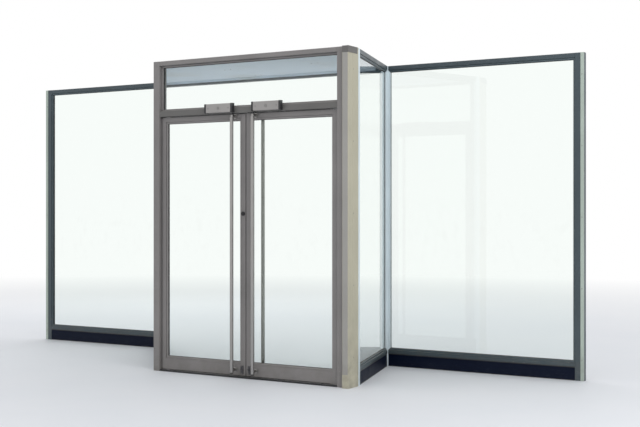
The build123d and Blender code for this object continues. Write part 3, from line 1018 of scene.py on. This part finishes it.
@dataclass
class Doorway:
    """The doorway's fittings: the drop bolts on the transom and the tread of the threshold."""

    housing_start: float = 0.09
    housing_length: float = 0.26
    cap_length: float = 0.016
    cap_lip: float = 0.0012
    cap_chamfer: float = 0.004
    cover_screw_inset: float = 0.035
    cover_screw_radius: float = 0.0042
    cylinder: Section = ((0.0115, 0.0), (0.0115, 0.002), (0.0105, 0.003), (0.0088, 0.003), (0.0084, 0.0022))
    rib: Section = ((-0.0018, 0.0), (-0.0009, 0.0009), (0.0009, 0.0009), (0.0018, 0.0))
    rib_count: int = 8
    rib_pitch: float = 0.0095
    rib_gap: float = 0.145
    pivot_inset: float = 0.0705
    spring_plate: Plate = Plate(0.125, 0.072, 0.0011, 0.0005)
    spring_screw_along: float = 0.05
    spring_screw_across: float = 0.024
    spring_screw_rise: float = 0.0009
    spring_screw_radius: float = 0.0036

    def build(self) -> None:
        """Adds the doorway's fittings."""
        self.housings()
        self.tread()

    def housings(self) -> None:
        """Adds end caps, cover screws and a key cylinder to the two drop-bolt housings."""
        low, high, middle = corners("drop_bolt_housings")
        lip, chamfer, length = self.cap_lip, self.cap_chamfer, self.housing_length
        deep, tall = (high.y - low.y) / 2, (high.z - low.z) / 2 + lip
        front = -deep - lip
        outline = [(deep, -tall), (front + chamfer, -tall), (front, chamfer - tall), (front, tall - chamfer),
                   (front + chamfer, tall), (deep, tall)]
        caps, screws, keys = Shape(), Shape(), Shape()
        for side in Side:
            way = X * side.value
            near = middle + way * self.housing_start
            for start, run in ((near, way), (near + way * length, -way)):
                caps.sweep(outline, start - run * lip, start + run * (self.cap_length - lip), Y, Z)
            face, inset = near - Y * deep, self.cover_screw_inset
            screws.screws([face + way * place for place in (inset, length - inset)], -Y,
                          self.cover_screw_radius)
            keys.turned(self.cylinder, face + way * (length / 2), -Y, sides=36)
        caps.piece("drop_bolt_end_caps", Slot.FITTING, Look.FITTING, smooth=25.0)
        screws.piece("drop_bolt_screws", Slot.FITTING, Look.SCREW)
        keys.piece("drop_bolt_cylinders", Slot.FITTING, Look.SCREW)

    def tread(self) -> None:
        """Adds the ribs of the threshold, and the floor springs' cover plates with their screws."""
        threshold = corners("threshold")
        ribs, plates, screws = Shape(), Shape(), Shape()
        for index in range(self.rib_count):
            line = Y * ((index - (self.rib_count - 1) / 2) * self.rib_pitch)
            start, end = (threshold.at(way, 0, 1) - X * (way * self.rib_gap) + line for way in (-1, 1))
            ribs.sweep(self.rib, start, end, Y, Z)
        along, across = self.spring_screw_along, self.spring_screw_across
        for way in (-1, 1):
            seat = threshold.at(way, 0, 1) - X * (way * self.pivot_inset)
            plates.plate(seat, X, Z, self.spring_plate)
            screws.screws([seat + Vector((x, y, self.spring_screw_rise))
                           for x in (-along, along) for y in (-across, across)], Z, self.spring_screw_radius)
        ribs.piece("threshold_ribs", Slot.ALUMINIUM, Look.TREAD, smooth=20.0)
        plates.piece("floor_spring_plates", Slot.STEEL, Look.STEEL)
        screws.piece("floor_spring_screws", Slot.STEEL, Look.SCREW)


@dataclass
class Kerbs:
    """The kerbs' drip trims, sealant and joint covers, and the weep covers of the sills above them."""

    panes: dict[str, Pane]
    facing: float = 0.021
    overlap: float = 0.014
    sealant: Section = ((0.0, 0.0), (0.0034, 0.0), (0.0022, 0.0018), (0.0006, 0.0036), (0.0, 0.004))
    drip: Section = ((0.0, 0.0), (0.0032, 0.0), (0.0032, -0.006), (0.0022, -0.0068), (0.0012, -0.006),
                     (0.0012, -0.0016), (0.0, -0.0016))
    drip_drop: float = 0.0002
    joint_pitch: float = 0.95
    joint_height: float = 0.0505
    joint_cover: Plate = Plate(0.092, 0.012, 0.0011, 0.0004)
    weep_shares: Sequence[float] = (-0.7, 0.0, 0.7)
    weep_drop: float = 0.0078
    weep_out: float = 0.0016
    weep_cover: Plate = Plate(0.034, 0.009, 0.0022, 0.0012)

    def build(self) -> None:
        """Adds the trims of the four kerbs and the weep covers."""
        for stem in ("left_window", "left_return", "right_return", "right_window"):
            self.kerb(self.panes[stem])
        self.weeps()

    def kerb(self, pane: Pane) -> None:
        """Adds the drip trim over a kerb, the floor sealant and the joints of its facing.

        Args:
            pane: The pane over the kerb.
        """
        half = pane.half_run + self.overlap
        top = Z * (corners(f"{pane.stem}_kerb").high.z - self.drip_drop)
        count = max(1, round(2 * half / self.joint_pitch))
        trims, joints = Shape(), Shape()
        for out in (-pane.out, pane.out):
            middle = pane.middle.xy.to_3d() + out * self.facing
            start, end = middle - pane.run * half, middle + pane.run * half
            trims.sweep(self.sealant, start, end, out, Z)
            trims.sweep(self.drip, start + top, end + top, out, Z)
            for index in range(1, count):
                joint = start.lerp(end, index / count) + Z * self.joint_height
                joints.plate(joint, Z, out, self.joint_cover)
        trims.piece(f"{pane.stem}_kerb_trims", Slot.KERB, Look.FITTING, smooth=40.0)
        if count > 1:
            joints.piece(f"{pane.stem}_kerb_joints", Slot.KERB, Look.KERB)

    def weeps(self) -> None:
        """Adds the weep-hole covers on the street side of the windows' sills."""
        shape = Shape()
        for stem in ("left_window", "right_window"):
            pane = self.panes[stem]
            out = pane.towards(Y)
            face = pane.middle + out * (pane.nose_half + self.weep_out)
            face.z = corners(f"{stem}_sill").high.z - self.weep_drop
            for share in self.weep_shares:
                shape.plate(face + pane.run * (share * pane.half_run), X, out, self.weep_cover)
        # The weep covers take the window beads' darker tone, which is painted shade.
        shape.piece("weep_covers", Slot.DARK_FRAME, Look.BEAD_DARK)


@dataclass
class Soffit:
    """The lobby's soffit: the cover angles round it, and its joint strips with their screws."""

    panes: dict[str, Pane]
    leg: float = 0.018
    thickness: float = 0.0015
    lobby_x: float = 0.4
    screen_half: float = 0.025
    return_overlap: float = 0.006
    door_gaps: Span = (0.004, 0.004)
    mouth_gaps: Span = (0.06, 0.07)
    strip: Section = ((-0.011, 0.0), (0.011, 0.0), (0.009, -0.0016), (-0.009, -0.0016))
    strip_places: Sequence[float] = (-0.13, 0.72)
    screw_shares: Sequence[float] = (0.08, 0.5, 0.92)
    screw_offset: float = 0.03
    screw_radius: float = 0.004

    def build(self) -> None:
        """Adds the soffit's trims."""
        level = corners("lobby_soffit").low.z
        self.angles(level)
        self.strips(level)

    def angles(self, level: float) -> None:
        """Adds the cover angles where the soffit meets the returns, the doors' head and the lobby's.

        Args:
            level: The height of the soffit's face.
        """
        leg, thick = self.leg, self.thickness
        section = [(0.0, 0.0), (leg, 0.0), (leg, -thick), (thick, -thick), (thick, -leg), (0.0, -leg)]
        shape = Shape()
        for stem in ("left_return", "right_return"):
            pane = self.panes[stem]
            inward = pane.towards(X * self.lobby_x - pane.middle)
            half = pane.run * (pane.half_run + self.return_overlap)
            middle = pane.middle + inward * self.screen_half
            middle.z = level
            shape.sweep(section, middle - half, middle + half, inward, Z)
        for head, gaps, way in (("door_head", self.door_gaps, 1), ("lobby_head", self.mouth_gaps, -1)):
            start, end = corners(head).at(-1, way, 0) + X * gaps[0], corners(head).at(1, way, 0) - X * gaps[1]
            start.z = end.z = level
            shape.sweep(section, start, end, Y * way, Z)
        shape.piece("soffit_cover_angles", Slot.SOFFIT, Look.SOFFIT, smooth=30.0)

    def strips(self, level: float) -> None:
        """Adds the strips over the soffit's joints and their screws.

        Args:
            level: The height of the soffit's face.
        """
        near = Vector((0, corners("door_head").high.y + self.leg, level))
        far = Vector((0, corners("lobby_head").low.y - self.leg, level))
        strips, screws = Shape(), Shape()
        for x in self.strip_places:
            strips.sweep(self.strip, near + X * x, far + X * x, X, Z)
            screws.screws([near.lerp(far, share) + X * (x + offset) for share in self.screw_shares
                           for offset in (-self.screw_offset, self.screw_offset)], -Z, self.screw_radius)
        strips.piece("soffit_joint_strips", Slot.SOFFIT, Look.SOFFIT)
        screws.piece("soffit_screws", Slot.SOFFIT, Look.SCREW)


@dataclass
class Column:
    """The column's casing: its seam, skirting and screws, a greyer sheet on its front that is painted shade,
    and the cap at its head, which is partly painted shade.
    """

    seam: Section = ((-0.012, 0.0), (-0.0105, 0.0014), (0.0105, 0.0014), (0.012, 0.0))
    skirt: Section = ((-0.001, 0.0), (0.003, 0.0), (0.003, 0.094), (0.0012, 0.1), (-0.001, 0.1))
    skirt_top: float = 0.099
    cap: Section = ((-0.001, 0.0), (0.0024, 0.0), (0.003, 0.001), (0.003, 0.048), (-0.001, 0.048))
    cap_height: float = 0.048
    wrap_start: float = 0.001
    wrap_gap: float = 0.02
    cover_margin: float = 0.0035
    cover_thickness: float = 0.0014
    cover_chamfer: float = 0.0008
    screw_heights: Sequence[float] = (0.22, 0.75, 1.28, 1.81, 2.34)
    screw_radius: float = 0.0036

    def build(self) -> None:
        """Adds the column's trims."""
        column = corners("right_column")
        side, top = column.at(1, 0, -1), column.high.z - self.cap_height
        casing, cap, cover, screws = Shape(), Shape(), Shape(), Shape()
        casing.sweep(self.seam, side + Z * self.skirt_top, side + Z * top, Y, X)
        self.wrap(casing, self.skirt, column, 0.0)
        casing.piece("column_casing_trims", Slot.COLUMN, Look.COLUMN, smooth=25.0)
        # The dark cap round the column's top is partly a head trim and partly painted shade for the ceiling's
        # contact shadow.
        self.wrap(cap, self.cap, column, top)
        cap.piece("column_head_cap", Slot.DARK_FRAME, Look.TRANSOM, smooth=25.0)
        # Painted shade: a thin greyer sheet over the column's front face stands for the shade on that face.
        cover.plate(column.at(0, -1, -1) + Z * ((self.skirt_top + top) / 2), Z, -Y,
                    Plate(top - self.skirt_top, column.high.x - column.low.x - 2 * self.cover_margin,
                          self.cover_thickness, self.cover_chamfer))
        cover.piece("column_front_cover", Slot.COLUMN, Look.COLUMN_FRONT, smooth=25.0)
        screws.screws([side + X * self.seam[1][1] + Z * height for height in self.screw_heights], X,
                      self.screw_radius)
        screws.piece("column_casing_screws", Slot.COLUMN, Look.SCREW)

    def wrap(self, shape: Shape, section: Section, column: Corners, height: float) -> None:
        """Draws a section round the two open faces of the column, mitred at the corner.

        Args:
            shape: The mesh that gets it.
            section: Pairs of the distance out from the face and up from the height.
            column: The column's corners.
            height: Where the section starts.
        """
        bends = ((column.at(-1, -1, -1) + X * self.wrap_start, -Y), (column.at(1, -1, -1), X - Y),
                 (column.at(1, 1, -1) - Y * self.wrap_gap, X))
        shape.skin([[place + out * away + Z * (height + up) for away, up in section]
                    for place, out in bends], Skin.SOLID)


@dataclass
class WallPosts:
    """The wall posts: the collars of their fixing holes, and the strips over their joints with the walls."""

    post_width: float = 0.072
    collar: Section = ((0.0041, 0.0), (0.0064, 0.0), (0.0064, 0.0008), (0.0056, 0.0014), (0.0046, 0.0014),
                       (0.0041, 0.0008))
    collar_sides: int = 28
    hole_inset: float = 0.008
    hole_pitch: float = 0.7
    hole_places: Sequence[float] = (-1.5, -0.5, 0.5, 1.5)
    strip: Section = ((0.0, 0.0), (0.028, 0.0), (0.028, 0.001), (0.0268, 0.0025), (0.0, 0.0025))
    screw_inset: float = 0.0154
    screw_heights: Sequence[float] = (0.16, 0.705, 1.25, 1.795, 2.34)
    screw_radius: float = 0.0036

    def build(self) -> None:
        """Adds the posts' trims."""
        self.collars()
        self.closures()

    def collars(self) -> None:
        """Adds a collar round each wall-fixing hole, on the open side of the posts."""
        shape = Shape()
        turns = [math.tau * step / self.collar_sides for step in range(self.collar_sides)]
        for side in Side:
            way = X * -side.value
            row = corners(f"{side}_wall_post").at(side.value, -1, 0)
            row += way * self.post_width + Y * self.hole_inset
            for place in self.hole_places:
                centre = row + Z * (self.hole_pitch * place)
                shape.skin([[centre + way * height + (Y * math.cos(turn) + Z * math.sin(turn)) * radius
                             for turn in turns] for radius, height in self.collar], Skin.HOOP)
        shape.piece("wall_fixing_collars", Slot.DARK_FRAME, Look.SCREW)

    def closures(self) -> None:
        """Adds the pale strips that cover the joints between the wall posts and the side walls."""
        strips, screws = Shape(), Shape()
        for side in Side:
            way, post = X * -side.value, corners(f"{side}_wall_post")
            foot = post.at(side.value, -1, -1)
            strips.sweep(self.strip, foot, post.at(side.value, -1, 1), way, -Y)
            seat = foot + way * self.screw_inset - Y * self.strip[-1][1]
            screws.screws([seat + Z * height for height in self.screw_heights], -Y, self.screw_radius)
        strips.piece("wall_closure_strips", Slot.PALE_POST, Look.CLOSURE, smooth=25.0)
        screws.piece("wall_closure_screws", Slot.PALE_POST, Look.SCREW)


def dress_solids() -> None:
    """Gives every solid the finish of its slot, or its own one."""
    by_slot = {Slot.GLASS: Look.GLASS, Slot.KERB: Look.KERB, Slot.SOFFIT: Look.SOFFIT,
               Slot.COLUMN: Look.COLUMN, Slot.STEEL: Look.STEEL, Slot.FITTING: Look.FITTING,
               Slot.ALUMINIUM: Look.THRESHOLD, Slot.DARK_FRAME: Look.DARK_FRAME,
               Slot.GREY_FRAME: Look.GREY_FRAME, Slot.PALE_POST: Look.PALE_POST}
    own = {"door_transom": Look.TRANSOM, "drop_bolt_housings": Look.COVER}
    for part in frame["record"]["subparts"]:
        node = part["node"]
        look = own.get(node, by_slot[Slot(part["material_slot"])])
        thing = frame["nodes"][node]
        thing.data.materials.clear()
        thing.data.materials.append(look.value.material)
        LOG.info("%s: %s", node, look.value.name)


@dataclass(frozen=True)
class Softbox:
    """A square soft lamp, which shows in no reflection and through no glass."""

    name: str
    place: Place
    aim: Place
    power: float
    size: float = 4.0

    def hang(self) -> None:
        """Adds the lamp to the scene."""
        data = bpy.data.lights.new(self.name, "AREA")
        data.shape = "SQUARE"
        data.size = self.size
        data.energy = self.power
        lamp = placed(self.name, data)
        lamp.location = self.place
        lamp.rotation_euler = (Vector(self.aim) - Vector(self.place)).to_track_quat("-Z", "Y").to_euler()
        lamp.visible_glossy = False
        lamp.visible_transmission = False


@dataclass
class Studio:
    """The pale floor, the plain light and the camera at the photograph's angle."""

    camera_place: Place = (5.571, -8.3515, 1.31)
    camera_look: Place = (-0.539, 0.842, 0.0)
    lens: float = 67.2
    sensor: float = 36.0
    shift: Span = (0.0933, -0.0067)
    clip: Span = (0.1, 200.0)
    sky_light: float = 0.84
    lamps: Sequence[Softbox] = (Softbox("key_softbox", (6.8, -4.2, 4.6), (0.4, -0.3, 1.2), 165.0),
                                Softbox("fill_softbox", (-4.5, 5.5, 4.6), (0.0, 0.0, 1.2), 80.0))
    floor_half: float = 60.0
    floor_tones: tuple[Colour, Colour] = ((222, 226, 232), (229, 231, 236))
    floor_roughness: float = 0.6
    white_span: Span = (4.5, 14.0)

    def build(self) -> None:
        """Makes the floor, the world, the lamps and the camera."""
        self.floor()
        self.world()
        for lamp in self.lamps:
            lamp.hang()
        self.camera()
        bpy.context.scene.view_settings.view_transform = "Standard"

    def floor(self) -> None:
        """Makes the pale floor, which turns into the white background far from the object."""
        half = self.floor_half
        data = bpy.data.meshes.new("studio_floor")
        data.from_pydata([(-half, -half, 0), (half, -half, 0), (half, half, 0), (-half, half, 0)], [],
                         [(0, 1, 2, 3)])
        floor = placed("studio_floor", data)
        surface = Surface("studio_floor_paint")
        cloud = surface.noise(scale=1.3, detail=4.0)
        surface.set(Base_Color=surface.mix(cloud, *(linear(tone) for tone in self.floor_tones)),
                    Roughness=self.floor_roughness)
        distance = surface.add("VectorMath", {0: surface.point}, operation="LENGTH").outputs["Value"]
        far = surface.spread(distance, self.white_span)
        surface.cover(surface.product(far, surface.background_rays()),
                      surface.add("Emission", {"Color": WHITE, "Strength": 1.0}))
        data.materials.append(surface.material)

    def world(self) -> None:
        """Makes the white surroundings, which light the object at a plain level."""
        world = bpy.data.worlds.new("studio_world")
        world.use_nodes = True
        graph = Graph(world.node_tree)
        strength = graph.spread(graph.background_rays(), (0.0, 1.0), onto=(self.sky_light, 1.0))
        back = graph.add("Background", {"Color": WHITE, "Strength": strength})
        graph.add("OutputWorld", {"Surface": back.outputs[0]})
        bpy.context.scene.world = world

    def camera(self) -> None:
        """Makes the camera and sets it as the scene's."""
        data = bpy.data.cameras.new("photo_camera")
        data.sensor_width = self.sensor
        data.lens = self.lens
        data.shift_x, data.shift_y = self.shift
        data.clip_start, data.clip_end = self.clip
        camera = placed("photo_camera", data)
        camera.location = self.camera_place
        camera.rotation_euler = Vector(self.camera_look).to_track_quat("-Z", "Y").to_euler()
        bpy.context.scene.camera = camera


def main() -> None:
    """Dresses the solids, adds the pieces and sets the studio."""
    logging.basicConfig(level=logging.INFO, format="%(name)s: %(message)s", stream=sys.stdout)
    dress_solids()
    panes = Glazing().build()
    for side in Side:
        Leaf(side).build()
    Doorway().build()
    Kerbs(panes).build()
    Soffit(panes).build()
    Column().build()
    WallPosts().build()
    Studio().build()


if __name__ == "__main__":
    main()
